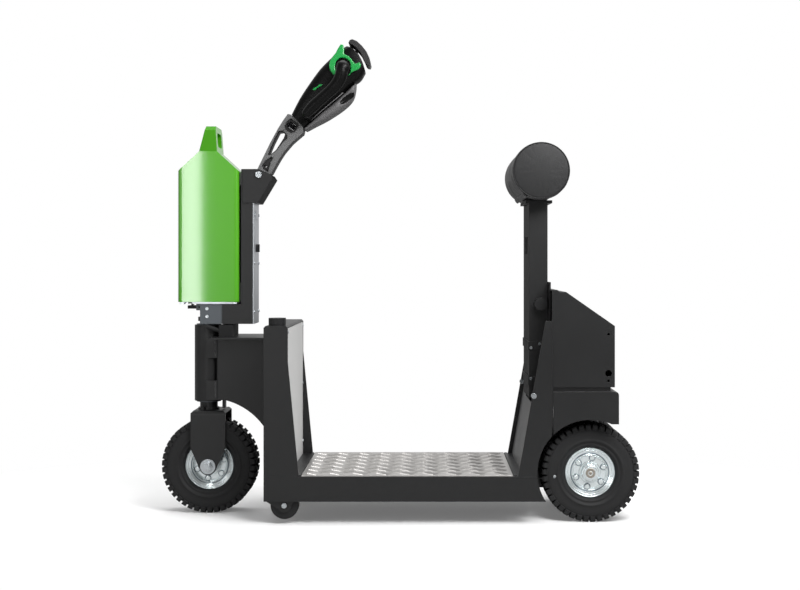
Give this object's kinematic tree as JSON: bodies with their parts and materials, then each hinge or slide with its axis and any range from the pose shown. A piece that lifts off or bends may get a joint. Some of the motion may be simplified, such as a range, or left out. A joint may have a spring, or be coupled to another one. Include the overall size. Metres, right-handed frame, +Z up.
{
  "type": "electric platform tug",
  "caption": "Ride-on electric tug: steered front wheel with twin-grip tiller and lift-out battery, low tread-plate deck, lean seat on an adjustable post and a driven rear axle.",
  "frame": {"origin": "on the floor, halfway between the front and rear wheel axes, on the machine's centre plane", "axes": "+X towards the driven rear wheels, +Z up, +Y across the machine, away from the side with the clamp knob"},
  "size_m": [1.328, 0.424, 1.3409],
  "materials": {
    "black_paint": "satin powder coat",
    "tread_metal": "brushed with raised bars",
    "light_paint": "satin powder coat",
    "mid_paint": "satin powder coat",
    "zinc": "zinc plated",
    "rim_zinc": "zinc plated pressed steel",
    "tyre": "moulded tread",
    "black_plastic": "fine grain",
    "rubber": "matt",
    "steel_grey": "satin",
    "battery_green": "glossy",
    "silver": "satin",
    "cast_grey": "cast, satin paint",
    "spring_steel": "black oiled",
    "head_plastic": "soft grain",
    "guard_grey": "soft grain",
    "throttle_green": "glossy",
    "bolster_vinyl": "matt upholstery vinyl"
  },
  "bodies": {
    "frame": {"deck_frame": "black_paint", "tread_plate": "tread_metal", "front_column": "black_paint", "column_panel": "light_paint", "panel_screws": "zinc", "column_socket": "black_plastic", "neck_arm": "black_paint", "head_tube": "black_paint", "upper_bearing": "steel_grey", "lower_bearing": "steel_grey", "cable_boot": "rubber", "support_brackets": "black_paint", "support_axles": "zinc", "rear_uprights": "black_paint", "rear_panel": "mid_paint", "back_plate": "black_paint", "post_straps": "black_paint", "strap_bolts": "zinc", "rear_box": "black_paint", "wheel_cover": "black_paint", "transaxle": "black_paint", "drive_motor": "black_paint", "motor_controller": "silver"},
    "steering_head": {"fork": "black_paint", "steering_stem": "black_paint", "front_axle": "zinc", "steering_base": "steel_grey", "base_rivets": "zinc", "battery_shelf": "steel_grey", "control_box": "black_paint", "control_panel": "silver", "control_screws": "zinc", "tiller_bracket": "black_paint", "pivot_bolt": "zinc"},
    "front_wheel": {"front_rim": "rim_zinc", "front_tyre": "tyre"},
    "left_rear_wheel": {"left_rear_rim": "rim_zinc", "left_rear_tyre": "tyre"},
    "right_rear_wheel": {"right_rear_rim": "rim_zinc", "right_rear_tyre": "tyre"},
    "left_anti_tip": {"left_support_wheel": "black_plastic"},
    "right_anti_tip": {"right_support_wheel": "black_plastic"},
    "battery": {"battery_case": "battery_green", "battery_foot": "zinc"},
    "latch": {"battery_latch": "black_plastic"},
    "tiller": {"tiller_arm": "cast_grey", "arm_spring": "spring_steel", "tiller_head": "head_plastic", "hand_grips": "head_plastic", "head_guard": "guard_grey"},
    "throttle_left": {"left_throttle": "throttle_green"},
    "throttle_right": {"right_throttle": "throttle_green"},
    "head_end_switch": {"end_switch": "head_plastic"},
    "horn_left": {"left_horn_button": "throttle_green"},
    "horn_right": {"right_horn_button": "throttle_green"},
    "key": {"key_switch": "black_plastic"},
    "cap": {"column_cap": "black_plastic"},
    "seat": {"seat_post": "black_paint", "seat_bolster": "bolster_vinyl"},
    "clamp_knob": {"post_knob": "black_plastic"}
  },
  "joints": [
    {"name": "steering", "type": "hinge", "parent": "frame", "child": "steering_head", "pos_m": [-0.5375, 0, 0.42], "axis": [0, 0, 1], "range_deg": [-80, 80]},
    {"name": "front_wheel_spin", "type": "hinge", "parent": "steering_head", "child": "front_wheel", "pos_m": [-0.5305, 0, 0.1335], "axis": [0, 1, 0], "continuous": true},
    {"name": "left_rear_wheel_spin", "type": "hinge", "parent": "frame", "child": "left_rear_wheel", "pos_m": [0.5305, 0.123, 0.1335], "axis": [0, 1, 0], "continuous": true},
    {"name": "right_rear_wheel_spin", "type": "hinge", "parent": "frame", "child": "right_rear_wheel", "pos_m": [0.5305, -0.123, 0.1335], "axis": [0, 1, 0], "continuous": true},
    {"name": "left_anti_tip_spin", "type": "hinge", "parent": "frame", "child": "left_anti_tip", "pos_m": [-0.2995, 0.181, 0.052], "axis": [0, 1, 0], "continuous": true},
    {"name": "right_anti_tip_spin", "type": "hinge", "parent": "frame", "child": "right_anti_tip", "pos_m": [-0.2995, -0.181, 0.052], "axis": [0, 1, 0], "continuous": true},
    {"name": "battery_lift", "type": "slide", "parent": "steering_head", "child": "battery", "axis": [0, 0, 1], "range_m": [0, 0.4]},
    {"name": "battery_latch_swing", "type": "hinge", "parent": "steering_head", "child": "latch", "pos_m": [-0.5605, 0, 0.5805], "axis": [0, -1, 0], "range_deg": [0, 60], "stiffness_Nm_per_rad": 0.12, "springref_deg": -28.65},
    {"name": "tiller_tilt", "type": "hinge", "parent": "steering_head", "child": "tiller", "pos_m": [-0.388, 0, 0.954], "axis": [0, 1, 0], "range_deg": [-10, 28]},
    {"name": "left_throttle_turn", "type": "hinge", "parent": "tiller", "child": "throttle_left", "pos_m": [-0.14187, 0.0468, 1.24754], "axis": [0, 1, 0], "range_deg": [-20, 20], "stiffness_Nm_per_rad": 0.6},
    {"name": "right_throttle_turn", "type": "hinge", "parent": "tiller", "child": "throttle_right", "pos_m": [-0.14187, -0.0468, 1.24754], "axis": [0, 1, 0], "range_deg": [-20, 20], "stiffness_Nm_per_rad": 0.6},
    {"name": "end_switch_press", "type": "slide", "parent": "tiller", "child": "head_end_switch", "axis": [-0.6561, 0, -0.7547], "range_m": [0, 0.006], "stiffness_N_per_m": 400, "springref_m": -0.005},
    {"name": "left_horn_press", "type": "slide", "parent": "tiller", "child": "horn_left", "axis": [0, -1, 0], "range_m": [0, 0.002], "stiffness_N_per_m": 300, "springref_m": -0.003},
    {"name": "right_horn_press", "type": "slide", "parent": "tiller", "child": "horn_right", "axis": [0, 1, 0], "range_m": [0, 0.002], "stiffness_N_per_m": 300, "springref_m": -0.003},
    {"name": "key_turn", "type": "hinge", "parent": "steering_head", "child": "key", "pos_m": [-0.402, 0, 0.748], "axis": [1, 0, 0], "range_deg": [0, 90]},
    {"name": "cap_lift", "type": "slide", "parent": "frame", "child": "cap", "axis": [0, 0, 1], "range_m": [0, 0.06]},
    {"name": "seat_height", "type": "slide", "parent": "frame", "child": "seat", "axis": [0, 0, 1], "range_m": [-0.01, 0.045]},
    {"name": "clamp_knob_turn", "type": "hinge", "parent": "seat", "child": "clamp_knob", "pos_m": [0.4, -0.107, 0.592], "axis": [0, 1, 0], "range_deg": [0, 360]}
  ],
  "couplings": [
    {"joint": "right_throttle_turn", "follows": "left_throttle_turn", "ratio": 1}
  ]
}
